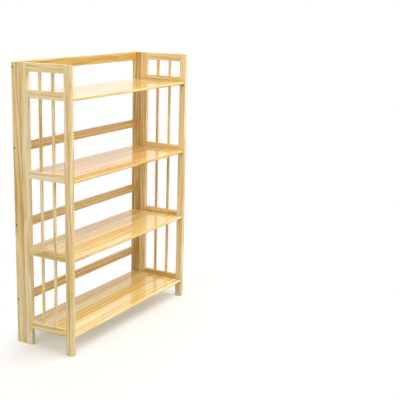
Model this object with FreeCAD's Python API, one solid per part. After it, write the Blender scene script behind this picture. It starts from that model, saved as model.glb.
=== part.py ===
import FreeCAD, Part
import os

# Folding bookcase: two slatted side frames hinged to a back frame, and four shelves that swing up on pins.
# Millimetres. +X right, +Y to the back, +Z up; the origin is the middle of the footprint, on the floor.

# Overall
width = 900.0
height = 1200.0
depth = 300.0

# Posts of the side frames and of the back frame
stock = 20.0                 # thickness of every post, along X
side_post_width = 33.0       # along Y
back_post_depth = 46.0       # along Y
hinge_gap = 1.6              # open joint between a back post and its side frame
post_edge = 1.6              # easing of the long edges

# Rails and slats of the side frames
rail_thickness = 18.0
rail_height = 33.0
top_rail_height = 34.0
rail_edge = 1.2
slats_per_bay = 2
slat_width = 12.5
slat_thickness = 7.0
slat_edge = 0.8
slat_tenon = 6.0             # length of slat let into each rail
tenon_clearance = 0.1        # on each side of a tenon
frame_dowel_radius = 3.0
frame_dowel_length = 32.0
frame_dowel_offset = 9.0     # above and below the middle of a rail
dowel_clearance = 0.1

# Shelves
shelf_count = 4
lowest_shelf_underside = 76.0
top_bay_height = 73.0        # between the top rail and the uppermost shelf's rail
shelf_thickness = 12.0
shelf_end_gap = 3.5          # between a shelf's end and the side frame
shelf_front_setback = 2.0
shelf_front_edge = 3.0       # rounding of the front edge
shelf_rear_edge = 1.5        # rounding of the rear edge
shelf_behind_pivot = 17.0    # from the pivot to the rear edge
pivot_behind_hinge = 11.8    # shelf pivot behind the axis of the side frame's hinges
pivot_pin_radius = 3.0
pivot_pin_in_shelf = 16.0
pivot_pin_in_post = 11.0
pivot_clearance = 0.1

# Back rails, one above each shelf, the topmost flush with the tops of the posts
back_top_rail_height = 40.0
back_rail_height = 36.0
back_rail_drop = 4.5         # of the lower rails below whole shelf pitches under the top of the posts
back_rail_thickness = 16.0
back_rail_screw_length = 52.0
back_rail_screw_radius = 2.2
screw_head_radius = 4.2
screw_head_height = 3.0
screw_sink = 0.4             # head below the wood's face
screw_slot_width = 1.1
screw_slot_depth = 1.0
screw_clearance = 0.1
screw_tip_room = 1.0         # depth of a hole beyond the tip of its screw
back_dowel_radius = 3.0
back_dowel_length = 30.0
back_dowel_offset = 10.0

# Butt hinges, one below each of the three upper shelves, on both sides
hinge_length = 40.0
hinge_below_shelf = 16.0     # top of a hinge below the shelf's underside
hinge_leaf_thickness = 1.2
hinge_leaf_gap = 0.2         # between the closed leaves
hinge_leaf_reach = 17.0      # from the axis to the far edge of a leaf
hinge_barrel_radius = 3.0
hinge_pin_radius = 1.3
hinge_pin_clearance = 0.1
hinge_knuckle_gap = 0.4
hinge_screw_radius = 1.4
hinge_screw_length = 14.0
hinge_screw_head = 2.6
hinge_screw_spacing = 22.0

# Shelf supports: steel angles on the front posts
support_width = 14.0         # along Y
support_setback = 8.0        # behind the front face of the post
support_reach = 8.0          # under the shelf, from the post's inner face
support_drop = 9.0           # height of the leaf on the post
support_thickness = 1.6
support_clearance = 0.4      # under the shelf
support_screw_radius = 1.4
support_screw_length = 12.0
support_screw_head = 2.6
support_screw_head_height = 1.0

half_width = width / 2
front = -depth / 2
back = depth / 2
inner_face = half_width - stock
back_post_front = back - back_post_depth
side_back = back_post_front - hinge_gap
hinge_axis_y = side_back + hinge_gap / 2
hinge_axis_x = inner_face - hinge_barrel_radius
pivot_y = hinge_axis_y + pivot_behind_hinge
rail_front = front + side_post_width
rail_back = side_back - side_post_width
rail_inset = (stock - rail_thickness) / 2
stock_middle = half_width - stock / 2
shelf_half_length = inner_face - shelf_end_gap
top_shelf_underside = height - top_rail_height - top_bay_height - rail_height
shelf_pitch = (top_shelf_underside - lowest_shelf_underside) / (shelf_count - 1)
shelf_undersides = [lowest_shelf_underside + shelf_pitch * level for level in range(shelf_count)][::-1]
hinged_undersides = shelf_undersides[:-1]
sides = {"left": -1, "right": 1}

overcut = 1.0                # how far a cutting tool runs past the faces that it opens
parallel = 0.999             # cosine above which an edge counts as parallel to an axis
on_face = 0.01               # distance below which an edge counts as lying in a face


def box(x_range, y_range, z_range):
    """A block between two values on each axis, given in any order."""
    x_low, x_high = sorted(x_range)
    y_low, y_high = sorted(y_range)
    z_low, z_high = sorted(z_range)
    corner = FreeCAD.Vector(x_low, y_low, z_low)
    return Part.makeBox(x_high - x_low, y_high - y_low, z_high - z_low, corner)


def rod(radius, start, end):
    """A cylinder from one point to another."""
    first, last = FreeCAD.Vector(*start), FreeCAD.Vector(*end)
    return Part.makeCylinder(radius, (last - first).Length, first, last - first)


def eased(solid, axis, radius):
    """Round the edges of a solid that run along one axis, named "X", "Y" or "Z"."""
    wanted = {"X": FreeCAD.Vector(1, 0, 0), "Y": FreeCAD.Vector(0, 1, 0), "Z": FreeCAD.Vector(0, 0, 1)}[axis]
    edges = [edge for edge in solid.Edges if abs(edge.tangentAt(edge.FirstParameter).dot(wanted)) > parallel]
    return solid.makeFillet(radius, edges)


def countersunk_screw(head, inward, radius, length, head_radius, head_height):
    """A slotted countersunk screw whose head's face is at the point head, driven along inward, X or Y."""
    start, way = FreeCAD.Vector(*head), FreeCAD.Vector(*inward)
    cone = Part.makeCone(head_radius, radius, head_height, start, way)
    shank = Part.makeCylinder(radius, length - head_height, start + way * head_height, way)
    screw = cone.fuse(shank).removeSplitter()
    x_half, y_half = (screw_slot_depth, head_radius) if way.x else (head_radius, screw_slot_depth)
    slot = box(
        (start.x - x_half, start.x + x_half),
        (start.y - y_half, start.y + y_half),
        (start.z - screw_slot_width / 2, start.z + screw_slot_width / 2),
    )
    return screw.cut(slot)


def screw_hole(head, inward, radius, length, head_radius, head_height):
    """The countersunk hole for that screw, open to the outside of the wood."""
    start, way = FreeCAD.Vector(*head), FreeCAD.Vector(*inward)
    cone = Part.makeCone(
        head_radius + screw_clearance, radius + screw_clearance, head_height, start, way
    )
    shank = Part.makeCylinder(radius + screw_clearance, length + screw_clearance, start, way)
    mouth = Part.makeCylinder(head_radius + screw_clearance, hinge_leaf_thickness + screw_sink, start, -way)
    return cone.fuse([shank, mouth])


# Shelves ------------------------------------------------------------------------------------------

def pivot_z(underside):
    return underside + shelf_thickness / 2


def shelf(underside):
    """A board with rounded front and rear edges, and a bored hole in each end for its pivot."""
    front_y, rear_y = front + shelf_front_setback, pivot_y + shelf_behind_pivot
    board = box(
        (-shelf_half_length, shelf_half_length), (front_y, rear_y), (underside, underside + shelf_thickness)
    )
    for face_y, radius in ((front_y, shelf_front_edge), (rear_y, shelf_rear_edge)):
        edges = [
            edge for edge in board.Edges
            if abs(edge.BoundBox.Center.y - face_y) < on_face and edge.BoundBox.XLength > shelf_half_length
        ]
        board = board.makeFillet(radius, edges)
    middle = pivot_z(underside)
    bores = []
    for side in sides.values():
        end, bottom = side * shelf_half_length, side * (shelf_half_length - pivot_pin_in_shelf)
        bores.append(rod(pivot_pin_radius, (end, pivot_y, middle), (bottom, pivot_y, middle)))
    return board.cut(bores)


def pivot_pins(underside):
    """The two steel pins that a shelf turns on, pressed into its ends."""
    middle = pivot_z(underside)
    return [
        rod(
            pivot_pin_radius,
            (side * (shelf_half_length - pivot_pin_in_shelf), pivot_y, middle),
            (side * (inner_face + pivot_pin_in_post - pivot_clearance), pivot_y, middle),
        )
        for side in sides.values()
    ]


# Back frame ---------------------------------------------------------------------------------------

# Each back rail as its lower and upper height, from the top one down.
back_rail_spans = [(height - back_top_rail_height, height)]
for level in range(1, shelf_count):
    rail_top = height - back_rail_drop - shelf_pitch * level
    back_rail_spans.append((rail_top - back_rail_height, rail_top))
back_rail_middles = [(low + high) / 2 for low, high in back_rail_spans]
back_rail_y = back - back_rail_thickness / 2


def back_rail_screw_places(side):
    """Head point and direction of the screws that hold the rails to one back post."""
    head_x = side * (half_width - screw_sink)
    return [((head_x, back_rail_y, middle), (-side, 0, 0)) for middle in back_rail_middles]


def back_dowels(side, clearance):
    """Dowels, or their holes, between one back post and the rails: one above and one below each screw."""
    half = back_dowel_length / 2 + clearance
    rods = []
    for middle in back_rail_middles:
        for z in (middle - back_dowel_offset, middle + back_dowel_offset):
            start = (side * (inner_face - half), back_rail_y, z)
            end = (side * (inner_face + half), back_rail_y, z)
            rods.append(rod(back_dowel_radius + clearance, start, end))
    return rods


back_rail_screw_size = (back_rail_screw_radius, back_rail_screw_length, screw_head_radius, screw_head_height)


def back_post(side):
    post = box((side * inner_face, side * half_width), (back_post_front, back), (0, height))
    post = eased(post, "Z", post_edge)
    cuts = [screw_hole(head, way, *back_rail_screw_size) for head, way in back_rail_screw_places(side)]
    cuts += back_dowels(side, dowel_clearance)
    for underside in shelf_undersides:
        middle = pivot_z(underside)
        start = (side * inner_face, pivot_y, middle)
        end = (side * (inner_face + pivot_pin_in_post), pivot_y, middle)
        cuts.append(rod(pivot_pin_radius + pivot_clearance, start, end))
    for underside in hinged_undersides:
        cuts += hinge_recess(side, 1, underside)
    return post.cut(cuts)


def back_rail(span):
    rail = box((-inner_face, inner_face), (back - back_rail_thickness, back), span)
    rail = eased(rail, "X", rail_edge)
    cuts = []
    for side in sides.values():
        cuts += [screw_hole(head, way, *back_rail_screw_size) for head, way in back_rail_screw_places(side)]
        cuts += back_dowels(side, dowel_clearance)
    return rail.cut(cuts)


# Hinges between the back posts and the side frames -------------------------------------------------
# way is 1 for the leaf on the back post and -1 for the leaf on the side frame.

def hinge_span(underside):
    top = underside - hinge_below_shelf
    return top - hinge_length, top


def leaf_plate(side, way, underside):
    near = hinge_axis_y + way * hinge_leaf_gap / 2
    far = near + way * hinge_leaf_thickness
    return box(
        (side * hinge_axis_x, side * (hinge_axis_x + hinge_leaf_reach)), (near, far), hinge_span(underside)
    )


def hinge_leaf(side, way, underside):
    """A leaf with its knuckles: the outer two on the back post's leaf, the middle one on the side frame's."""
    low, high = hinge_span(underside)
    third = (high - low) / 3
    middle = (low + third, high - third)
    outer = [(low, middle[0]), (middle[1], high)]
    axis = (side * hinge_axis_x, hinge_axis_y)

    def barrel(radius, span, ease):
        return rod(radius, (*axis, span[0] + ease), (*axis, span[1] - ease))

    own, other = (outer, [middle]) if way == 1 else ([middle], outer)
    shortening = hinge_knuckle_gap / 2
    leaf = leaf_plate(side, way, underside)
    leaf = leaf.cut([barrel(hinge_barrel_radius + hinge_knuckle_gap, span, -shortening) for span in other])
    leaf = leaf.fuse([barrel(hinge_barrel_radius, span, shortening) for span in own])
    leaf = leaf.cut([barrel(hinge_pin_radius + hinge_pin_clearance, (low, high), -overcut)])
    return leaf.cut(hinge_screw_holes(side, way, underside))


def hinge_pin(side, underside):
    low, high = hinge_span(underside)
    axis = (side * hinge_axis_x, hinge_axis_y)
    return rod(hinge_pin_radius, (*axis, low), (*axis, high))


hinge_screw_size = (hinge_screw_radius, hinge_screw_length, hinge_screw_head, hinge_leaf_thickness)


def hinge_screw_places(side, way, underside):
    low, high = hinge_span(underside)
    x = side * (hinge_axis_x + (hinge_barrel_radius + hinge_leaf_reach) / 2)
    y = hinge_axis_y + way * hinge_leaf_gap / 2
    middle = (low + high) / 2
    return [((x, y, middle + step * hinge_screw_spacing / 2), (0, way, 0)) for step in (-1, 1)]


def hinge_screw_holes(side, way, underside):
    places = hinge_screw_places(side, way, underside)
    return [screw_hole(head, into, *hinge_screw_size) for head, into in places]


def hinge_recess(side, way, underside):
    """What one leaf takes out of its post: its own plate and its screws' holes."""
    return [leaf_plate(side, way, underside), *hinge_screw_holes(side, way, underside)]


# Side frames --------------------------------------------------------------------------------------

# Each rail of a side frame as its lower and upper height, from the top rail down.
rail_spans = [(height - top_rail_height, height)]
rail_spans += [(underside, underside + rail_height) for underside in shelf_undersides]
bays = [(rail_spans[level + 1][1], rail_spans[level][0]) for level in range(shelf_count)]
slat_gap = (rail_back - rail_front - slats_per_bay * slat_width) / (slats_per_bay + 1)
slat_fronts = [rail_front + slat_gap + (slat_gap + slat_width) * place for place in range(slats_per_bay)]


def frame_dowels(side, clearance):
    """Dowels, or their holes, between the rails and the two posts of one side frame."""
    half = frame_dowel_length / 2 + clearance
    x = side * stock_middle
    rods = []
    for low, high in rail_spans:
        for joint in (rail_front, rail_back):
            for offset in (-frame_dowel_offset, frame_dowel_offset):
                z = (low + high) / 2 + offset
                rods.append(rod(frame_dowel_radius + clearance, (x, joint - half, z), (x, joint + half, z)))
    return rods


def slat(side, bay, slat_front, clearance=0.0):
    """A slat with its ends in the rails, or with a clearance the pocket that it needs there."""
    half = slat_thickness / 2 + clearance
    low, high = bay
    bar = box(
        (side * (stock_middle - half), side * (stock_middle + half)),
        (slat_front - clearance, slat_front + slat_width + clearance),
        (low - slat_tenon - clearance, high + slat_tenon + clearance),
    )
    return bar if clearance else eased(bar, "Z", slat_edge)


def support_places(underside):
    """Height of the top of the support under a shelf, and its front and back."""
    top = underside - support_clearance
    return top, front + support_setback, front + support_setback + support_width


def shelf_support(side, underside):
    """A bent steel angle: a leaf on the post's inner face and a tab under the shelf."""
    top, near, far = support_places(underside)
    face = side * inner_face
    leaf = box((face, side * (inner_face - support_thickness)), (near, far), (top - support_drop, top))
    tab = box((face, side * (inner_face - support_reach)), (near, far), (top - support_thickness, top))
    angle = leaf.fuse(tab).removeSplitter()
    return angle.cut([
        rod(support_screw_radius + screw_clearance, head, (head[0] + side * support_thickness, *head[1:]))
        for head in support_screw_places(side, underside)
    ])


def support_screw_places(side, underside):
    top, near, far = support_places(underside)
    z = top - (support_thickness + support_drop) / 2
    quarter = (far - near) / 4
    return [(side * (inner_face - support_thickness), y, z) for y in (near + quarter, far - quarter)]


def support_screws(side, underside):
    """Two pan-head screws through the leaf of a support into the post."""
    screws = []
    for x, y, z in support_screw_places(side, underside):
        end = x + side * support_screw_length
        head = rod(support_screw_head, (x - side * support_screw_head_height, y, z), (x, y, z))
        screws.append(head.fuse(rod(support_screw_radius, (x, y, z), (end, y, z))).removeSplitter())
    return screws


def support_screw_holes(side):
    depth = support_screw_length + screw_tip_room
    return [
        rod(support_screw_radius + screw_clearance, (x, y, z), (x + side * depth, y, z))
        for underside in shelf_undersides
        for x, y, z in support_screw_places(side, underside)
    ]


def front_post(side):
    post = box((side * inner_face, side * half_width), (front, rail_front), (0, height))
    return eased(post, "Z", post_edge).cut(frame_dowels(side, dowel_clearance) + support_screw_holes(side))


def rear_post(side):
    post = box((side * inner_face, side * half_width), (rail_back, side_back), (0, height))
    cuts = frame_dowels(side, dowel_clearance)
    for underside in hinged_undersides:
        cuts += hinge_recess(side, -1, underside)
    return eased(post, "Z", post_edge).cut(cuts)


def side_rail(side, span):
    x_range = (side * (inner_face + rail_inset), side * (half_width - rail_inset))
    rail = eased(box(x_range, (rail_front, rail_back), span), "Y", rail_edge)
    pockets = [slat(side, bay, slat_front, tenon_clearance) for bay in bays for slat_front in slat_fronts]
    return rail.cut(frame_dowels(side, dowel_clearance) + pockets)


# All the pieces by name ---------------------------------------------------------------------------

nodes = {"left_back_post": [back_post(-1)], "right_back_post": [back_post(1)]}
for number, span in enumerate(back_rail_spans, 1):
    nodes[f"back_rail_{number}"] = [back_rail(span)]
nodes["back_rail_screws"] = [
    countersunk_screw(head, way, *back_rail_screw_size)
    for side in sides.values() for head, way in back_rail_screw_places(side)
]
nodes["back_rail_dowels"] = [dowel for side in sides.values() for dowel in back_dowels(side, 0)]
hinges = [(side, underside) for side in sides.values() for underside in hinged_undersides]
nodes["post_hinge_leaves"] = [hinge_leaf(side, 1, underside) for side, underside in hinges]
nodes["post_hinge_screws"] = [
    countersunk_screw(head, way, *hinge_screw_size)
    for side, underside in hinges for head, way in hinge_screw_places(side, 1, underside)
]
nodes["hinge_pins"] = [hinge_pin(side, underside) for side, underside in hinges]

for name, side in sides.items():
    nodes[f"{name}_front_post"] = [front_post(side)]
    nodes[f"{name}_rear_post"] = [rear_post(side)]
    nodes[f"{name}_top_rail"] = [side_rail(side, rail_spans[0])]
    for number, span in enumerate(rail_spans[1:], 1):
        nodes[f"{name}_shelf_rail_{number}"] = [side_rail(side, span)]
    for number, bay in enumerate(bays, 1):
        for place, slat_front in enumerate(slat_fronts, 1):
            nodes[f"{name}_slat_{number}_{place}"] = [slat(side, bay, slat_front)]
    nodes[f"{name}_frame_dowels"] = frame_dowels(side, 0)
    nodes[f"{name}_side_hinge_leaves"] = [hinge_leaf(side, -1, underside) for underside in hinged_undersides]
    nodes[f"{name}_shelf_supports"] = [shelf_support(side, underside) for underside in shelf_undersides]
    side_screws = [
        countersunk_screw(head, way, *hinge_screw_size)
        for underside in hinged_undersides for head, way in hinge_screw_places(side, -1, underside)
    ]
    for underside in shelf_undersides:
        side_screws += support_screws(side, underside)
    nodes[f"{name}_side_screws"] = side_screws

for number, underside in enumerate(shelf_undersides, 1):
    nodes[f"shelf_{number}"] = [shelf(underside)]
    nodes[f"shelf_{number}_pivot_pins"] = pivot_pins(underside)

os.makedirs("parts", exist_ok=True)
for name, solids in nodes.items():
    shape = solids[0] if len(solids) == 1 else Part.makeCompound(solids)
    shape.exportStep(f"parts/{name}.step")

whole = Part.makeCompound([solid for solids in nodes.values() for solid in solids])
print(len(nodes), "nodes", whole.BoundBox)
broken = [
    name for name, solids in nodes.items()
    if not all(solid.isValid() and len(solid.Solids) == 1 for solid in solids)
]
print("nodes with a broken solid:", broken)
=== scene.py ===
"""Folding bookcase in pale lacquered pine: boards with their own grain, metal parts, room and camera."""
import math
import random

import bmesh
import bpy
from mathutils import Euler, Matrix, Vector


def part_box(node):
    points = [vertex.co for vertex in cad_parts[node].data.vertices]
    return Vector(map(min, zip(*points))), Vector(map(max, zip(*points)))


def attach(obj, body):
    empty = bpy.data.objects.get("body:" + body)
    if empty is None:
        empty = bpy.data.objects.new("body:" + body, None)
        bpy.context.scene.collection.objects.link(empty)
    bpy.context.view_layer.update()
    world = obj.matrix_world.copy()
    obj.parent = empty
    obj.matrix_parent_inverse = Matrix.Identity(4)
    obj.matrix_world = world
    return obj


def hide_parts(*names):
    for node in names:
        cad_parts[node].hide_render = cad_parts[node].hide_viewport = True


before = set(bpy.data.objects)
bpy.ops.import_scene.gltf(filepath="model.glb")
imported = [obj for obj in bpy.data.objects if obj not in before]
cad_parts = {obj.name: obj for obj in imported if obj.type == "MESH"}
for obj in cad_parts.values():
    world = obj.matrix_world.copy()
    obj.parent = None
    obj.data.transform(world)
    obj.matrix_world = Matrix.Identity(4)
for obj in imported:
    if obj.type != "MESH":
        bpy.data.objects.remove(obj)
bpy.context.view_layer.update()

MM = 0.001
SIDES = {"left": -1, "right": 1}
SHELVES = range(1, 5)
BAYS = range(1, 5)
SLATS_PER_BAY = (1, 2)
X_AXIS, Y_AXIS = 0, 1


# Node trees ---------------------------------------------------------------------------------------

class Value:
    """A node socket, or a plain number, that builds Math nodes when it is used in an expression."""

    def __init__(self, graph, socket):
        self.graph = graph
        self.socket = socket

    def _math(self, operation, *others):
        return self.graph.add("ShaderNodeMath", {"operation": operation}, [self, *others]).out(0)

    def __add__(self, other):
        return self._math("ADD", other)

    def __sub__(self, other):
        return self._math("SUBTRACT", other)

    def __mul__(self, other):
        return self._math("MULTIPLY", other)

    def __truediv__(self, other):
        return self._math("DIVIDE", other)

    def __rsub__(self, other):
        return self.graph.value(other)._math("SUBTRACT", self)

    def __rtruediv__(self, other):
        return self.graph.value(other)._math("DIVIDE", self)

    __radd__ = __add__
    __rmul__ = __mul__

    def fraction(self):
        return self._math("FRACT")

    def root(self):
        return self._math("SQRT")

    def clamped(self):
        return self._math("MINIMUM", 1.0)._math("MAXIMUM", 0.0)

    def step(self, low, high):
        """0 below low and 1 above high, smooth between."""
        return self.graph.add(
            "ShaderNodeMapRange", {"interpolation_type": "SMOOTHSTEP"}, [self, low, high, 0.0, 1.0]
        ).out(0)


class Node:
    """A made node, whose outputs are read by name or number."""

    def __init__(self, graph, node):
        self.graph = graph
        self.node = node

    def out(self, key):
        return Value(self.graph, self.node.outputs[key])


class Graph:
    """A node tree of any kind, whose nodes all come from one method."""

    def __init__(self, tree):
        self.tree = tree
        self.tree.nodes.clear()

    def value(self, number):
        node = self.tree.nodes.new("ShaderNodeValue")
        node.outputs[0].default_value = number
        return Value(self, node.outputs[0])

    def add(self, kind, settings=None, inputs=()):
        """A node of a kind, with its settings set first and then its sockets, by name or in order."""
        node = self.tree.nodes.new(kind)
        for key, setting in (settings or {}).items():
            setattr(node, key, setting)
        pairs = inputs.items() if isinstance(inputs, dict) else enumerate(inputs)
        for key, given in pairs:
            if isinstance(given, Value):
                self.tree.links.new(given.socket, node.inputs[key])
            elif given is not None:
                node.inputs[key].default_value = given
        return Node(self, node)

    def join(self, *parts):
        """Several geometries as one."""
        node = self.tree.nodes.new("GeometryNodeJoinGeometry")
        for part in reversed(parts):
            self.tree.links.new(part.socket, node.inputs[0])
        return Value(self, node.outputs[0])

    def mix(self, factor, first, second):
        """Two colours mixed; each is a Value or three linear numbers."""
        first, second = [(*given, 1.0) if isinstance(given, tuple) else given for given in (first, second)]
        return self.add("ShaderNodeMix", {"data_type": "RGBA"}, {0: factor, 6: first, 7: second}).out(2)

    def noise(self, place, scale, detail=2.0, roughness=0.5):
        """Noise around NOISE_MEAN, at a place scaled by its own number along each axis."""
        stretched = self.add("ShaderNodeMapping", {}, {"Vector": place, "Scale": scale}).out(0)
        return self.add("ShaderNodeTexNoise", {}, {
            "Vector": stretched, "Scale": 1.0, "Detail": detail, "Roughness": roughness
        }).out(0)


class Material(Graph):
    def __init__(self, name):
        self.material = bpy.data.materials.new(name)
        self.material.use_nodes = True
        super().__init__(self.material.node_tree)

    def finish(self, surface):
        self.add("ShaderNodeOutputMaterial", {}, {"Surface": surface})
        return self.material


class Shape(Graph):
    """A Geometry Nodes tree with named inputs, which gives plain meshes."""

    def __init__(self, name, inputs):
        super().__init__(bpy.data.node_groups.new(name, "GeometryNodeTree"))
        face = self.tree.interface
        face.new_socket("Geometry", in_out="INPUT", socket_type="NodeSocketGeometry")
        face.new_socket("Geometry", in_out="OUTPUT", socket_type="NodeSocketGeometry")
        self.sockets = {
            label: face.new_socket(label, in_out="INPUT", socket_type=kind) for label, kind in inputs.items()
        }
        self.given = self.add("NodeGroupInput")

    def finish(self, geometry):
        whole = self.add("GeometryNodeRealizeInstances", {}, [geometry]).out(0)
        finish = self.given.out("Finish")
        finished = self.add("GeometryNodeSetMaterial", {}, {"Geometry": whole, "Material": finish}).out(0)
        self.add("NodeGroupOutput", {}, [finished])

    def make(self, mesh, sizes):
        """The tree's result on a mesh, for sizes given by the names of its inputs."""
        start = new_object("start", mesh)
        modifier = start.modifiers.new("shape", "NODES")
        modifier.node_group = self.tree
        for label, size in sizes.items():
            modifier[self.sockets[label].identifier] = size
        return settled(start)


def new_object(name, data):
    thing = bpy.data.objects.new(name, data)
    bpy.context.scene.collection.objects.link(thing)
    return thing


def settled(thing):
    """The mesh that an object has after its modifiers; the object goes."""
    graph = bpy.context.evaluated_depsgraph_get()
    mesh = bpy.data.meshes.new_from_object(
        thing.evaluated_get(graph), preserve_all_data_layers=True, depsgraph=graph
    )
    bpy.data.objects.remove(thing)
    return mesh


def srgb(red, green, blue):
    """The linear colour of three sRGB numbers from 0 to 255."""
    def linear(channel):
        share = channel / 255
        return share / 12.92 if share <= 0.04045 else ((share + 0.055) / 1.055) ** 2.4
    return linear(red), linear(green), linear(blue)


# Wood ---------------------------------------------------------------------------------------------
# Each board carries an attribute, "grain": its place in the log it was sawn from, in metres, with Z along
# the log and X, Y across it. A second one, "tone", says how dark that board is: 0 for a pale board and 1
# for a dark one, with a few boards outside that range. On some boards the tone is partly painted light and
# shade, lighter or darker for how the lamps fall on them. The shelves have a third, "lacquer", which runs
# from 0 at the bottom to 1 on top, where their gloss coat lies.

# The colours of satin and of gloss boards, from the palest to the darkest: cream, straw, honey and amber.
SATIN_COLOURS = srgb(254, 238, 193), srgb(243, 211, 145), srgb(215, 179, 97), srgb(160, 122, 40)
GLOSS_COLOURS = srgb(255, 238, 174), srgb(248, 210, 126), srgb(226, 172, 82), srgb(176, 122, 44)

# How fine the noises of the figure are, per metre: both ways across the log, and along it.
WANDER_SCALE = (9.0, 9.0, 1.5)
RIPPLE_SCALE = (70.0, 70.0, 6.0)
BAND_SCALE = (26.0, 26.0, 0.9)
STREAK_SCALE = (95.0, 95.0, 1.8)
HAIR_SCALE = (300.0, 300.0, 4.5)
FIBRE_SCALE = (900.0, 900.0, 14.0)
NOISE_MEAN = 0.5

# How far the growth rings move in and out between the least and the greatest wander and ripple.
WANDER_REACH = 60 * MM
RIPPLE_REACH = 6 * MM
# Where in a ring, from 0 to 1, its dark late wood comes up and where it breaks off.
LATE_WOOD_RISE = (0.15, 0.82)
LATE_WOOD_FALL = (0.88, 1.0)

# How much the parts of the figure and the board's tone darken the wood, and the darkness all boards have.
LATE_WOOD_SHARE = 0.42
BAND_SHARE = 1.5
STREAK_SHARE = 1.5
HAIR_SHARE = 0.8
TONE_SHARE = 0.62
BASE_DARKNESS = 0.12
# The darkness at which the wood is straw; it is honey at 1. From AMBER_DARKNESS on it goes towards amber.
STRAW_DARKNESS = 0.5
AMBER_DARKNESS = 0.95
AMBER_RATE = 0.8

# Fine amber lines stand where late wood and streaks are both within these steps or above; the second
# strength is what a board with tone 1 adds to the first.
LINE_LATE_WOOD = (0.70, 1.0)
LINE_STREAK = (0.42, 0.62)
LINE_STRENGTH = 0.18
LINE_TONE_STRENGTH = 0.3
# Pores stand where the fibre noise is within this step or above.
PORE_FIBRE = (0.58, 0.80)
PORE_STRENGTH = 0.16

# Relief: its strength and depth, and how much of it comes from pores and from late wood.
RELIEF_STRENGTH = 0.10
RELIEF_DEPTH = 0.4 * MM
PORE_RELIEF = 0.6
LATE_WOOD_RELIEF = 0.4
# Gloss: how much the roughness varies with the streaks, then the varnish, and the shelves' lacquer over it.
STREAK_ROUGHNESS = 0.12
VARNISH_IOR = 1.5
LACQUER_ROUGHNESS = 0.05
LACQUER_IOR = 1.6


def swing(noise):
    """A noise moved so that it runs to both sides of 0."""
    return noise - NOISE_MEAN


def wood(name, colours, ring_width, figure_strength, roughness, shine):
    """Pine; shine is the strength of the mirror reflection under any lacquer, 0.5 for a plain varnish."""
    cream, straw, honey, amber = colours
    skin = Material(name)
    grain = skin.add("ShaderNodeAttribute", {"attribute_name": "grain"}).out("Vector")
    tone = skin.add("ShaderNodeAttribute", {"attribute_name": "tone"}).out("Fac")
    lacquer = skin.add("ShaderNodeAttribute", {"attribute_name": "lacquer"}).out("Fac")

    wander = skin.noise(grain, WANDER_SCALE)
    ripple = skin.noise(grain, RIPPLE_SCALE)
    parts = skin.add("ShaderNodeSeparateXYZ", {}, [grain])
    across, deep = parts.out(0), parts.out(1)
    distance = (across * across + deep * deep).root()
    radius = distance + swing(wander) * WANDER_REACH + swing(ripple) * RIPPLE_REACH
    ring = (radius / ring_width).fraction()
    late_wood = ring.step(*LATE_WOOD_RISE) * (1 - ring.step(*LATE_WOOD_FALL))

    band = skin.noise(grain, BAND_SCALE)
    streak = skin.noise(grain, STREAK_SCALE, detail=3.0, roughness=0.6)
    hair = skin.noise(grain, HAIR_SCALE, roughness=0.6)
    fibre = skin.noise(grain, FIBRE_SCALE, roughness=0.6)

    figure = late_wood * LATE_WOOD_SHARE + swing(band) * BAND_SHARE
    figure = figure + swing(streak) * STREAK_SHARE + swing(hair) * HAIR_SHARE
    dark = figure * figure_strength + tone * TONE_SHARE + BASE_DARKNESS
    body = skin.mix((dark / STRAW_DARKNESS).clamped(), cream, straw)
    body = skin.mix(((dark - STRAW_DARKNESS) / (1 - STRAW_DARKNESS)).clamped(), body, honey)
    body = skin.mix(((dark - AMBER_DARKNESS) * AMBER_RATE).clamped(), body, amber)
    line = late_wood.step(*LINE_LATE_WOOD) * streak.step(*LINE_STREAK)
    body = skin.mix((line * (LINE_STRENGTH + tone * LINE_TONE_STRENGTH)).clamped(), body, amber)
    pore = fibre.step(*PORE_FIBRE)
    body = skin.mix(pore * PORE_STRENGTH, body, amber)

    bump = skin.add("ShaderNodeBump", {}, {
        "Strength": RELIEF_STRENGTH,
        "Distance": RELIEF_DEPTH,
        "Height": (1 - pore) * PORE_RELIEF + late_wood * LATE_WOOD_RELIEF,
    }).out(0)
    surface = skin.add("ShaderNodeBsdfPrincipled", {}, {
        "Base Color": body,
        "Roughness": roughness + swing(streak) * STREAK_ROUGHNESS,
        "Normal": bump,
        "IOR": VARNISH_IOR,
        "Specular IOR Level": shine,
        "Coat Weight": lacquer,
        "Coat Roughness": LACQUER_ROUGHNESS,
        "Coat IOR": LACQUER_IOR,
    })
    return skin.finish(surface.out(0))


# Metal and dowels ---------------------------------------------------------------------------------

# How fine each noise is, per metre along X, Y and Z, the step within which its spots or flecks come up, and
# how much they change the roughness or the colour.
DRAWN_LINE_SCALE = (900.0, 900.0, 90.0)
DRAWN_LINE_ROUGHNESS = 0.25
DULL_SPOT_SCALE = (420.0, 420.0, 420.0)
DULL_SPOT = (0.45, 0.7)
DULL_SPOT_SHADE = 0.7
FLECK_SCALE = (240.0, 900.0, 900.0)
FLECK = (0.5, 0.75)
FLECK_ROUGHNESS = 0.2
BEECH_ROUGHNESS = 0.55
BEECH_COLOUR = srgb(214, 178, 132)
BEECH_FLECK_COLOUR = srgb(168, 122, 82)


def steel(name, colour, roughness):
    """Plated steel with faint lines drawn along Z, and dull spots."""
    skin = Material(name)
    place = skin.add("ShaderNodeTexCoord").out("Object")
    lines = skin.noise(place, DRAWN_LINE_SCALE, detail=3.0)
    spots = skin.noise(place, DULL_SPOT_SCALE, detail=3.0)
    dull = tuple(channel * DULL_SPOT_SHADE for channel in colour)
    surface = skin.add("ShaderNodeBsdfPrincipled", {}, {
        "Base Color": skin.mix(spots.step(*DULL_SPOT), colour, dull),
        "Metallic": 1.0,
        "Roughness": swing(lines) * DRAWN_LINE_ROUGHNESS + roughness,
    })
    return skin.finish(surface.out(0))


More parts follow.
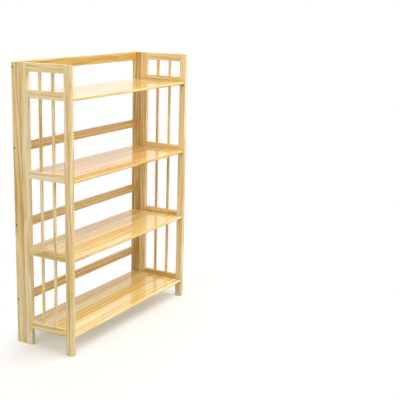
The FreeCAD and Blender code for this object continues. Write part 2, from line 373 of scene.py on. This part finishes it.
def beech(name):
    """The dowels' plain beech, with short dark flecks that run along X."""
    skin = Material(name)
    place = skin.add("ShaderNodeTexCoord").out("Object")
    flecks = skin.noise(place, FLECK_SCALE, detail=3.0, roughness=0.7)
    surface = skin.add("ShaderNodeBsdfPrincipled", {}, {
        "Base Color": skin.mix(flecks.step(*FLECK), BEECH_COLOUR, BEECH_FLECK_COLOUR),
        "Roughness": BEECH_ROUGHNESS + flecks * FLECK_ROUGHNESS,
    })
    return skin.finish(surface.out(0))


SATIN_PINE = wood(
    "satin_pine", SATIN_COLOURS, ring_width=14 * MM, figure_strength=1.0, roughness=0.40, shine=0.5
)
GLOSS_PINE = wood(
    "gloss_pine", GLOSS_COLOURS, ring_width=24 * MM, figure_strength=0.9, roughness=0.50, shine=0.1
)
BEECH = beech("beech")
BRIGHT_ZINC = steel("bright_zinc", srgb(196, 192, 184), roughness=0.34)
DARK_ZINC = steel("dark_zinc", srgb(110, 100, 86), roughness=0.45)
# The supports' steel is tinted warm grey as a painted warm cast from the pale wood round them.
GREY_ZINC = steel("grey_zinc", srgb(200, 186, 154), roughness=0.48)


# Boards -------------------------------------------------------------------------------------------

# How dark the boards are that aren't left to chance, and between what the others are. These tones are
# partly the boards' own and partly painted light and shade: the top back rail is darker as painted shade
# against the front lamp that falls full on it, the lower back rails are lighter as painted light against
# the shade of the shelves above them, and the right back post is darker partly as painted shade.
TONES_AND_PAINTED_LIGHT = {
    "left_back_post": 0.35,
    # darker partly for its own wood and partly as painted shade
    "right_back_post": 1.0,
    "left_rear_post": -0.2,
    "left_front_post": 0.45,
    "right_rear_post": 0.2,
    "right_front_post": -0.1,
    "shelf_1": 0.4,
    "shelf_2": 0.7,
    "shelf_3": 0.15,
    "shelf_4": 0.15,
    # darker as painted shade, against the front lamp's full light on it
    "back_rail_1": 1.6,
    # the lower back rails lighter as painted light, against the shade of the shelves above them
    "back_rail_2": 0.45,
    "back_rail_3": 0.4,
    "back_rail_4": 0.3,
    "left_shelf_rail_2": 0.0,
}
CHANCE_TONES = (0.0, 0.5)

# The flat steps of a rounded edge, and the radii of the boards' long edges and eased ends.
ARC_STEPS = 4
POST_ARRIS = 1.6 * MM
RAIL_ARRIS = 1.2 * MM
SLAT_ARRIS = 0.8 * MM
POST_END_EASE = 0.6 * MM
SHELF_FRONT_ROUND = 4.5 * MM
SHELF_REAR_ROUND = 1.8 * MM
SHELF_END_EASE = 1.0 * MM

# For each way that a board can run: the number of its long axis, and of the two across it.
AXES = {"X": (0, 1, 2), "Y": (1, 0, 2), "Z": (2, 0, 1)}
# How far the grain of such boards may run out of line, in radians.
GRAIN_SLOPE = {"X": 0.015, "Y": 0.05, "Z": 0.07}
# Where a board's middle lies in its log, in metres: how far from the heart one way, how far at most the
# other way, and how far at most up or down the log.
HEART_DISTANCE = (0.04, 0.10)
HEART_SHIFT = 0.04
LOG_REACH = 3.0

# Points nearer than this are one point, in a mesh made here and in a CAD node's.
MERGE_DISTANCE = 0.001 * MM
CAD_MERGE_DISTANCE = 0.01 * MM


def log_place(board_name, along, middle):
    """The map from the object's place to a place in the log, different for each board."""
    chance = random.Random(board_name)
    long_axis, first, second = AXES[along]
    turn = Matrix([[axis == row for axis in range(3)] for row in (first, second, long_axis)])
    slope = GRAIN_SLOPE[along]
    tilt = Euler((chance.uniform(-slope, slope), chance.uniform(-slope, slope), chance.uniform(0, math.tau)))
    heart = Vector((
        chance.uniform(*HEART_DISTANCE),
        chance.uniform(-HEART_SHIFT, HEART_SHIFT),
        chance.uniform(-LOG_REACH, LOG_REACH),
    ))
    spin = tilt.to_matrix()

    def place(point):
        return spin @ (turn @ (point - middle)) + heart
    return place


# A listed tone, which may hold painted light and shade, or else one left to chance.
def board_tone(board_name):
    return TONES_AND_PAINTED_LIGHT.get(board_name, random.Random(board_name + " tone").uniform(*CHANCE_TONES))


def add_grain(mesh, boards, along):
    """The two wood attributes of a mesh, whose vertices say in "board" which of the boards they belong to."""
    middles = {name: sum((Vector(corner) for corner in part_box(name)), Vector()) / 2 for name in boards}
    places = [log_place(name, along, middles[name]) for name in boards]
    tones = [board_tone(name) for name in boards]
    numbers = [0] * len(mesh.vertices)
    if len(boards) > 1:
        mesh.attributes["board"].data.foreach_get("value", numbers)
    mesh.attributes.new("grain", "FLOAT_VECTOR", "POINT")
    mesh.attributes.new("tone", "FLOAT", "POINT")
    grain, tone = mesh.attributes["grain"], mesh.attributes["tone"]
    for vertex, number in zip(mesh.vertices, numbers):
        grain.data[vertex.index].vector = places[number](vertex.co)
        tone.data[vertex.index].value = tones[number]


def add_lacquer(mesh):
    """The shelves' wood attribute for gloss, which fades down their edges."""
    heights = [vertex.co.z for vertex in mesh.vertices]
    low, high = min(heights), max(heights)
    lacquer = mesh.attributes.new("lacquer", "FLOAT", "POINT")
    lacquer.data.foreach_set("value", [(height - low) / (high - low) for height in heights])


def smooth_piece(name, mesh, material, body, nodes):
    """A finished piece with soft arrises and flat faces, in place of CAD nodes."""
    mesh.polygons.foreach_set("use_smooth", [True] * len(mesh.polygons))
    mesh.materials.clear()
    mesh.materials.append(material)
    piece = new_object(name, mesh)
    normals = piece.modifiers.new("flat faces", "WEIGHTED_NORMAL")
    normals.keep_sharp = True
    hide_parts(*nodes)
    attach(piece, body)


def rounded_section(low, high, radii, inset):
    """Points round a rectangle with its own radius at each corner, all moved inwards by inset."""
    corners = ((high[0], high[1]), (low[0], high[1]), (low[0], low[1]), (high[0], low[1]))
    inwards = ((-1, -1), (1, -1), (1, 1), (-1, 1))
    points = []
    for quarter, (corner, inward, radius) in enumerate(zip(corners, inwards, radii)):
        middle = Vector(corner) + Vector(inward) * radius
        for step in range(ARC_STEPS + 1):
            angle = math.radians(90) * (quarter + step / ARC_STEPS)
            points.append(middle + (radius - inset) * Vector((math.cos(angle), math.sin(angle))))
    return points


def lofted(name, rings):
    """A closed mesh through rings of equally many points, with a flat face at each end."""
    form = bmesh.new()
    loops = [[form.verts.new(point) for point in ring] for ring in rings]
    for near, far in zip(loops, loops[1:]):
        for index in range(len(near)):
            form.faces.new((near[index - 1], near[index], far[index], far[index - 1]))
    form.faces.new(loops[0])
    form.faces.new(loops[-1])
    bmesh.ops.remove_doubles(form, verts=form.verts, dist=MERGE_DISTANCE)
    bmesh.ops.recalc_face_normals(form, faces=form.faces)
    mesh = bpy.data.meshes.new(name)
    form.to_mesh(mesh)
    form.free()
    return mesh


def board_mesh(name, along, radii, end_ease):
    """A board over one CAD node, with its own radius on each long edge and eased ends."""
    low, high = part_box(name)
    long_axis, first, second = AXES[along]

    def ring(place, inset):
        section = rounded_section((low[first], low[second]), (high[first], high[second]), radii, inset)
        points = []
        for point in section:
            corner = Vector()
            corner[long_axis], corner[first], corner[second] = place, point.x, point.y
            points.append(corner)
        return points

    rings = []
    for end, way, steps in ((low, 1, range(ARC_STEPS + 1)), (high, -1, range(ARC_STEPS, -1, -1))):
        for step in steps:
            angle = math.radians(90) * step / ARC_STEPS
            inset = end_ease * (1 - math.sin(angle))
            rings.append(ring(end[long_axis] + way * end_ease * (1 - math.cos(angle)), inset))
    return lofted(name, rings)


# Geometry trees -----------------------------------------------------------------------------------

# How many flats make up the bend of a strip, and a screw's head and shank.
BEND_STEPS = 6
HEAD_CORNERS = 32
SHANK_CORNERS = 16
# Each bar of a screw's cross recess: length and width as shares of the head's radius, and height as a
# share of the head's, of which the inner half is cut into the head.
RECESS_LENGTH = 1.2
RECESS_WIDTH = 0.22
RECESS_HEIGHT = 0.9


def swept_strip_tree():
    """A rectangular section with rounded arrises, swept along each path in a mesh."""
    tree = Shape("swept_strips", {
        "Width": "NodeSocketFloat", "Thickness": "NodeSocketFloat", "Arris": "NodeSocketFloat",
        "Bend": "NodeSocketFloat", "Width Direction": "NodeSocketVector", "Finish": "NodeSocketMaterial",
    })
    given = tree.given
    paths = tree.add("GeometryNodeMeshToCurve", {}, [given.out("Geometry")]).out(0)
    bent = tree.add("GeometryNodeFilletCurve", {"mode": "POLY"}, {
        "Curve": paths, "Count": BEND_STEPS, "Radius": given.out("Bend"), "Limit Radius": True
    }).out(0)
    turned = tree.add("GeometryNodeSetCurveNormal", {"mode": "FREE"}, {
        "Curve": bent, "Normal": given.out("Width Direction")
    }).out(0)
    outline = tree.add("GeometryNodeCurvePrimitiveQuadrilateral", {"mode": "RECTANGLE"}, {
        "Width": given.out("Width"), "Height": given.out("Thickness")
    }).out(0)
    section = tree.add("GeometryNodeFilletCurve", {"mode": "POLY"}, {
        "Curve": outline, "Count": ARC_STEPS, "Radius": given.out("Arris"), "Limit Radius": True
    }).out(0)
    tree.finish(tree.add("GeometryNodeCurveToMesh", {}, {
        "Curve": turned, "Profile Curve": section, "Fill Caps": True
    }).out(0))
    return tree


def set_screw_tree():
    """A screw at each point of a mesh, along its attribute "inward", with a cross recess turned at random."""
    tree = Shape("set_screws", {
        "Head Radius": "NodeSocketFloat", "Head Height": "NodeSocketFloat", "Neck Radius": "NodeSocketFloat",
        "Shank Radius": "NodeSocketFloat", "Length": "NodeSocketFloat", "Seed": "NodeSocketInt",
        "Finish": "NodeSocketMaterial",
    })
    given = tree.given
    head_radius, head_height = given.out("Head Radius"), given.out("Head Height")
    shank_length = given.out("Length") - head_height

    head = tree.add("GeometryNodeMeshCone", {"fill_type": "NGON"}, {
        "Vertices": HEAD_CORNERS,
        "Radius Top": given.out("Neck Radius"),
        "Radius Bottom": head_radius,
        "Depth": head_height,
    }).out(0)
    bar = tree.add("ShaderNodeCombineXYZ", {}, {
        "X": head_radius * RECESS_LENGTH, "Y": head_radius * RECESS_WIDTH, "Z": head_height * RECESS_HEIGHT
    }).out(0)
    for turn in (0, math.pi / 2):
        slot = tree.add("GeometryNodeMeshCube", {}, {"Size": bar}).out(0)
        slot = tree.add("GeometryNodeTransform", {}, {"Geometry": slot, "Rotation": (0, 0, turn)}).out(0)
        head = tree.add("GeometryNodeMeshBoolean", {
            "operation": "DIFFERENCE", "solver": "EXACT"
        }, [head, slot]).out(0)

    shank = tree.add("GeometryNodeMeshCylinder", {"fill_type": "NGON"}, {
        "Vertices": SHANK_CORNERS, "Radius": given.out("Shank Radius"), "Depth": shank_length
    }).out(0)
    shank_middle = tree.add("ShaderNodeCombineXYZ", {}, {"Z": head_height + shank_length * 0.5}).out(0)
    shank = tree.add("GeometryNodeTransform", {}, {"Geometry": shank, "Translation": shank_middle}).out(0)

    # Sockets 2 and 3 are the lowest and the highest number, and output 1 is the number drawn.
    chance = tree.add("FunctionNodeRandomValue", {"data_type": "FLOAT"}, {
        2: 0.0, 3: math.pi, "Seed": given.out("Seed")
    }).out(1)
    spin = tree.add("FunctionNodeAxisAngleToRotation", {}, {"Axis": (0, 0, 1), "Angle": chance}).out(0)
    inward = tree.add("GeometryNodeInputNamedAttribute", {"data_type": "FLOAT_VECTOR"}, {
        "Name": "inward"
    }).out(0)
    aim = tree.add("FunctionNodeAlignRotationToVector", {"axis": "Z"}, {
        "Rotation": spin, "Vector": inward
    }).out(0)
    tree.finish(tree.add("GeometryNodeInstanceOnPoints", {}, {
        "Points": given.out("Geometry"), "Instance": tree.join(head, shank), "Rotation": aim
    }).out(0))
    return tree


SWEPT_STRIPS = swept_strip_tree()
SET_SCREWS = set_screw_tree()


# The pieces ---------------------------------------------------------------------------------------

RAIL_SCREW_SHANK = 2.2 * MM
RAIL_SCREW_HEAD = 3.0 * MM
SMALL_SCREW_SHANK = 1.4 * MM
HINGE_SCREW_HEAD = 1.2 * MM
SUPPORT_SCREW_HEAD = 1.0 * MM
PAN_CROWN = 0.8              # the radius of a pan head's flat top, as a share of the head's
HOLE_CLEARANCE = 0.15 * MM
SINK_MOUTH = 2.0 * MM        # how far the shape that cuts a countersink stands out of the post
SINK_DEPTH = 4.0 * MM        # and how far it goes in
SUPPORT_THICKNESS = 1.6 * MM
SUPPORT_BEND = 2.4 * MM
SUPPORT_ARRIS = 0.3 * MM


def bars(name, nodes, along, width_along, arris, body):
    """Straight boards of one section, as one mesh, in place of as many CAD nodes."""
    long_axis, width_axis = AXES[along][0], AXES[width_along][0]
    points, numbers = [], []
    for number, node in enumerate(nodes):
        low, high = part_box(node)
        for end in (low, high):
            point = (Vector(low) + Vector(high)) / 2
            point[long_axis] = end[long_axis]
            points.append(point)
            numbers.append(number)
    paths = bpy.data.meshes.new(name)
    paths.from_pydata(points, [(start, start + 1) for start in range(0, len(points), 2)], [])
    paths.attributes.new("board", "INT", "POINT").data.foreach_set("value", numbers)

    low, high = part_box(nodes[0])
    spans = [high[axis] - low[axis] for axis in range(3)]
    thickness_axis = 3 - long_axis - width_axis
    mesh = SWEPT_STRIPS.make(paths, {
        "Width": spans[width_axis],
        "Thickness": spans[thickness_axis],
        "Arris": arris,
        "Width Direction": [float(axis == width_axis) for axis in range(3)],
        "Finish": SATIN_PINE,
    })
    add_grain(mesh, nodes, along)
    smooth_piece(name, mesh, SATIN_PINE, body, nodes)


def solids(node):
    """The lowest and highest corner of each separate solid in a CAD node."""
    form = bmesh.new()
    form.from_mesh(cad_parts[node].data)
    bmesh.ops.remove_doubles(form, verts=form.verts, dist=CAD_MERGE_DISTANCE)
    waiting = set(form.verts)
    boxes = []
    while waiting:
        reached = [waiting.pop()]
        for vertex in reached:
            for edge in vertex.link_edges:
                other = edge.other_vert(vertex)
                if other in waiting:
                    waiting.remove(other)
                    reached.append(other)
        places = [[vertex.co[axis] for vertex in reached] for axis in range(3)]
        boxes.append((Vector(map(min, places)), Vector(map(max, places))))
    form.free()
    return sorted(boxes, key=lambda corners: [round(number, 5) for number in corners[0]])


def screws_along(node, axis, inward):
    """Where a CAD node's screws along one axis start, which way they point, their radius and length."""
    heads, ways = [], []
    for low, high in solids(node):
        span = high - low
        if span[axis] == max(span):
            middle = (low + high) / 2
            way = inward(middle)
            heads.append(middle - way * span[axis] / 2)
            ways.append(way)
            radius, length = min(span) / 2, span[axis]
    return heads, ways, radius, length


def screw_mesh(heads, ways, sizes):
    """Screws that start at the head points and point the given ways."""
    points = bpy.data.meshes.new("screw_points")
    points.from_pydata(heads, [], [])
    points.attributes.new("inward", "FLOAT_VECTOR", "POINT")
    for entry, way in zip(points.attributes["inward"].data, ways):
        entry.vector = way
    return SET_SCREWS.make(points, {**sizes, "Finish": DARK_ZINC})


def countersunk(node, axis, inward, shank_radius, head_height, seed):
    """Screws whose heads narrow down to the shank."""
    heads, ways, radius, length = screws_along(node, axis, inward)
    return screw_mesh(heads, ways, {
        "Head Radius": radius, "Head Height": head_height, "Neck Radius": shank_radius,
        "Shank Radius": shank_radius, "Length": length, "Seed": seed,
    })


def pan_head(node, axis, inward, shank_radius, head_height, seed):
    """Screws whose heads lie on the metal, a little narrower on top."""
    heads, ways, radius, length = screws_along(node, axis, inward)
    return screw_mesh(heads, ways, {
        "Head Radius": radius * PAN_CROWN, "Head Height": head_height, "Neck Radius": radius,
        "Shank Radius": shank_radius, "Length": length, "Seed": seed,
    })


def joined(name, meshes):
    """Several meshes as one."""
    form = bmesh.new()
    for mesh in meshes:
        form.from_mesh(mesh)
    whole = bpy.data.meshes.new(name)
    form.to_mesh(whole)
    form.free()
    return whole


def metal_piece(name, mesh, metal, body, node):
    """A finished metal piece in place of one CAD node."""
    mesh.materials.clear()
    mesh.materials.append(metal)
    piece = new_object(name, mesh)
    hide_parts(node)
    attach(piece, body)


def countersinks(heads, ways, radius):
    """What the rail screws' heads take out of a post, as one mesh: a mouth, a cone and a hole."""
    profile = (
        (-SINK_MOUTH, radius),
        (0.0, radius),
        (RAIL_SCREW_HEAD, RAIL_SCREW_SHANK),
        (SINK_DEPTH, RAIL_SCREW_SHANK),
    )
    sinks = []
    for head, way in zip(heads, ways):
        rings = []
        for depth, ring_radius in profile:
            ring = []
            for corner in range(HEAD_CORNERS):
                angle = math.tau * corner / HEAD_CORNERS
                around = Vector((0, math.cos(angle), math.sin(angle)))
                ring.append(head + way * depth + around * ring_radius)
            rings.append(ring)
        sinks.append(lofted("countersink", rings))
    return joined("countersinks", sinks)


def carved(mesh, tool_mesh):
    """A mesh without what another one takes up."""
    block = new_object("block", mesh)
    tool = new_object("tool", tool_mesh)
    cut = block.modifiers.new("cut", "BOOLEAN")
    cut.operation = "DIFFERENCE"
    cut.solver = "EXACT"
    cut.object = tool
    result = settled(block)
    bpy.data.objects.remove(tool)
    return result


def outwards(middle):
    return Vector((math.copysign(1, middle.x), 0, 0))


def to_the_middle(middle):
    return -outwards(middle)


def to_the_back(middle):
    return Vector((0, 1, 0))


def to_the_front(middle):
    return Vector((0, -1, 0))


def posts():
    heads, ways, radius, _ = screws_along("back_rail_screws", X_AXIS, to_the_middle)
    for side, sign in SIDES.items():
        bodies = {"back_post": "back_frame", "front_post": f"{side}_side", "rear_post": f"{side}_side"}
        for post, body in bodies.items():
            node = f"{side}_{post}"
            mesh = board_mesh(node, "Z", [POST_ARRIS] * 4, POST_END_EASE)
            if post == "back_post":
                own = [(head, way) for head, way in zip(heads, ways) if head.x * sign > 0]
                mesh = carved(mesh, countersinks(*zip(*own), radius + HOLE_CLEARANCE))
            add_grain(mesh, [node], "Z")
            smooth_piece(f"{node}_board", mesh, SATIN_PINE, body, [node])


def rails_and_slats():
    bars("back_top_rail_board", ["back_rail_1"], "X", "Z", RAIL_ARRIS, "back_frame")
    lower_rails = [f"back_rail_{number}" for number in SHELVES[1:]]
    bars("back_rails", lower_rails, "X", "Z", RAIL_ARRIS, "back_frame")
    for side in SIDES:
        body = f"{side}_side"
        bars(f"{side}_top_rail_board", [f"{side}_top_rail"], "Y", "Z", RAIL_ARRIS, body)
        shelf_rails = [f"{side}_shelf_rail_{number}" for number in SHELVES]
        bars(f"{side}_rails", shelf_rails, "Y", "Z", RAIL_ARRIS, body)
        slats = [f"{side}_slat_{bay}_{place}" for bay in BAYS for place in SLATS_PER_BAY]
        bars(f"{side}_slats", slats, "Z", "Y", SLAT_ARRIS, body)


def shelves():
    for number in SHELVES:
        node = f"shelf_{number}"
        radii = [SHELF_REAR_ROUND, SHELF_FRONT_ROUND, SHELF_FRONT_ROUND, SHELF_REAR_ROUND]
        mesh = board_mesh(node, "X", radii, SHELF_END_EASE)
        add_grain(mesh, [node], "X")
        add_lacquer(mesh)
        smooth_piece(f"{node}_board", mesh, GLOSS_PINE, node, [node])


def supports():
    """Bent steel strips: down the post's inner face, and out under the shelf."""
    for side, sign in SIDES.items():
        node = f"{side}_shelf_supports"
        points, edges = [], []
        for low, high in solids(node):
            across = (low.y + high.y) / 2
            width = high.y - low.y
            wall, tip = (high.x, low.x) if sign > 0 else (low.x, high.x)
            wall -= sign * SUPPORT_THICKNESS / 2
            top = high.z - SUPPORT_THICKNESS / 2
            edges += [(len(points), len(points) + 1), (len(points) + 1, len(points) + 2)]
            points += [(wall, across, low.z), (wall, across, top), (tip, across, top)]
        paths = bpy.data.meshes.new(node)
        paths.from_pydata(points, edges, [])
        mesh = SWEPT_STRIPS.make(paths, {
            "Width": width,
            "Thickness": SUPPORT_THICKNESS,
            "Arris": SUPPORT_ARRIS,
            "Bend": SUPPORT_BEND,
            "Width Direction": (0.0, 1.0, 0.0),
            "Finish": GREY_ZINC,
        })
        metal_piece(f"{side}_support_angles", mesh, GREY_ZINC, f"{side}_side", node)


def screws():
    rail_screws = countersunk(
        "back_rail_screws", X_AXIS, to_the_middle, RAIL_SCREW_SHANK, RAIL_SCREW_HEAD, seed=1
    )
    metal_piece("rail_screws", rail_screws, DARK_ZINC, "back_frame", "back_rail_screws")
    post_screws = countersunk(
        "post_hinge_screws", Y_AXIS, to_the_back, SMALL_SCREW_SHANK, HINGE_SCREW_HEAD, seed=2
    )
    metal_piece("hinge_screws", post_screws, DARK_ZINC, "back_frame", "post_hinge_screws")
    for seed, side in enumerate(SIDES, 3):
        node = f"{side}_side_screws"
        both = joined(node, [
            countersunk(node, Y_AXIS, to_the_front, SMALL_SCREW_SHANK, HINGE_SCREW_HEAD, seed),
            pan_head(node, X_AXIS, outwards, SMALL_SCREW_SHANK, SUPPORT_SCREW_HEAD, seed),
        ])
        metal_piece(f"{side}_screws", both, DARK_ZINC, f"{side}_side", node)


def carried_over_nodes():
    """Hinge leaves, pins and dowels keep their CAD shape and get their finish here."""
    for node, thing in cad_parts.items():
        if "hinge_leaves" in node or "pins" in node or "dowels" in node:
            thing.data.materials.clear()
            thing.data.materials.append(BEECH if "dowels" in node else BRIGHT_ZINC)


posts()
rails_and_slats()
shelves()
supports()
screws()
carried_over_nodes()


# Room ---------------------------------------------------------------------------------------------

# Half the floor's width, and the middle and half size of the lit oval round the bookcase, in metres.
FLOOR_REACH = 12.0
LIT_FLOOR_MIDDLE = (0.0, -0.25, 0.0)
LIT_FLOOR_REACH = (0.80, 0.42, 1.0)
LIT_FLOOR_EDGE = (0.9, 1.3)       # shares of that half size between which the oval fades into white
LIT_FLOOR_COLOUR = (0.65, 0.64, 0.67, 1.0)
# A glow that is added where the floor is seen, and not where it lights things.
FLOOR_GLOW = 0.36
FLOOR_GLOW_COLOUR = (1.0, 0.96, 0.80, 1.0)
WHITE = (1.0, 1.0, 1.0, 1.0)
AMBIENT = 0.20                    # the world's strength where it lights things

# The softboxes: name, place, the point that it faces, width and height, all in metres, and brightness,
# where 1 is white.
SOFTBOXES = (
    ("overhead", (-0.2, -0.3, 3.0), (0.0, 0.0, 0.0), (3.0, 2.6), 0.35),
    ("front", (0.3, -1.7, 3.5), (0.0, 0.0, 0.6), (3.4, 2.4), 4.2),
    ("low_front", (0.9, -3.2, 1.0), (0.0, 0.0, 0.5), (3.0, 1.5), 1.0),
    ("left", (-3.2, 0.2, 1.5), (0.0, 0.0, 0.7), (2.0, 2.0), 2.6),
    ("right", (3.2, -0.3, 1.3), (0.0, 0.0, 0.6), (2.0, 2.0), 1.3),
    ("back", (1.8, 2.2, 3.3), (0.0, 0.0, 0.6), (2.0, 1.6), 1.7),
)


def seen_directly(graph):
    """1 for camera, mirror and see-through rays, and 0 for the rays that light things."""
    path = graph.add("ShaderNodeLightPath")
    return (path.out("Is Camera Ray") + path.out("Is Glossy Ray") + path.out("Is Transmission Ray")).clamped()


def pale_floor():
    """A floor that takes the shadow near the bookcase, and is plain white further out."""
    form = bmesh.new()
    bmesh.ops.create_grid(form, x_segments=1, y_segments=1, size=FLOOR_REACH)
    mesh = bpy.data.meshes.new("floor")
    form.to_mesh(mesh)
    form.free()
    floor = new_object("floor", mesh)
    skin = Material("pale_floor")
    place = skin.add("ShaderNodeTexCoord").out("Object")
    oval = skin.add("ShaderNodeMapping", {"vector_type": "TEXTURE"}, {
        "Vector": place, "Location": LIT_FLOOR_MIDDLE, "Scale": LIT_FLOOR_REACH
    }).out(0)
    distance = skin.add("ShaderNodeVectorMath", {"operation": "LENGTH"}, [oval]).out(1)
    lit = skin.add("ShaderNodeBsdfDiffuse", {}, {"Color": LIT_FLOOR_COLOUR}).out(0)
    white = skin.add("ShaderNodeEmission", {}, {"Strength": 1.0}).out(0)
    seen = seen_directly(skin)
    glow = skin.add("ShaderNodeEmission", {}, {
        "Color": FLOOR_GLOW_COLOUR, "Strength": seen * FLOOR_GLOW
    }).out(0)
    near = skin.add("ShaderNodeAddShader", {}, [lit, glow]).out(0)
    far = distance.step(*LIT_FLOOR_EDGE) * seen
    mesh.materials.append(skin.finish(skin.add("ShaderNodeMixShader", {}, [far, near, white]).out(0)))


def white_air():
    """The world: plain white where it is seen, and softer where it only lights things."""
    world = bpy.data.worlds.new("room")
    bpy.context.scene.world = world
    world.use_nodes = True
    air = Graph(world.node_tree)
    strength = seen_directly(air) * (1 - AMBIENT) + AMBIENT
    white = air.add("ShaderNodeBackground", {}, {"Color": WHITE, "Strength": strength}).out(0)
    air.add("ShaderNodeOutputWorld", {}, {"Surface": white})


def soft_light(name, place, aim, size, level):
    """A square-edged softbox; level is its brightness, where 1 is white."""
    lamp = bpy.data.lights.new(name, "AREA")
    lamp.shape = "RECTANGLE"
    lamp.size, lamp.size_y = size
    lamp.energy = level * math.pi * size[0] * size[1]
    thing = new_object(name, lamp)
    thing.location = place
    thing.rotation_euler = (Vector(aim) - Vector(place)).to_track_quat("-Z", "Y").to_euler()
    thing.visible_camera = False


pale_floor()
white_air()
for softbox in SOFTBOXES:
    soft_light(*softbox)


# Camera -------------------------------------------------------------------------------------------

EYE = (-2.9462, -2.1043, 1.4414)
YAW, PITCH, ROLL = 0.9925, 0.238, 0.0103     # radians: to the right of +Y, down, and clockwise
SENSOR_WIDTH = 36.0                          # millimetres, as is the lens
LENS = 73.86
SHIFT = 0.15                                 # share of the image's width

camera = bpy.data.cameras.new("camera")
camera.sensor_width = SENSOR_WIDTH
camera.lens = LENS
camera.shift_x = SHIFT
eye = new_object("camera", camera)
eye.location = EYE
eye.rotation_mode = "QUATERNION"
forward = Vector((math.sin(YAW) * math.cos(PITCH), math.cos(YAW) * math.cos(PITCH), -math.sin(PITCH)))
eye.rotation_quaternion = forward.to_track_quat("-Z", "Y") @ Euler((0, 0, ROLL)).to_quaternion()
bpy.context.scene.camera = eye
bpy.context.scene.view_settings.view_transform = "Standard"
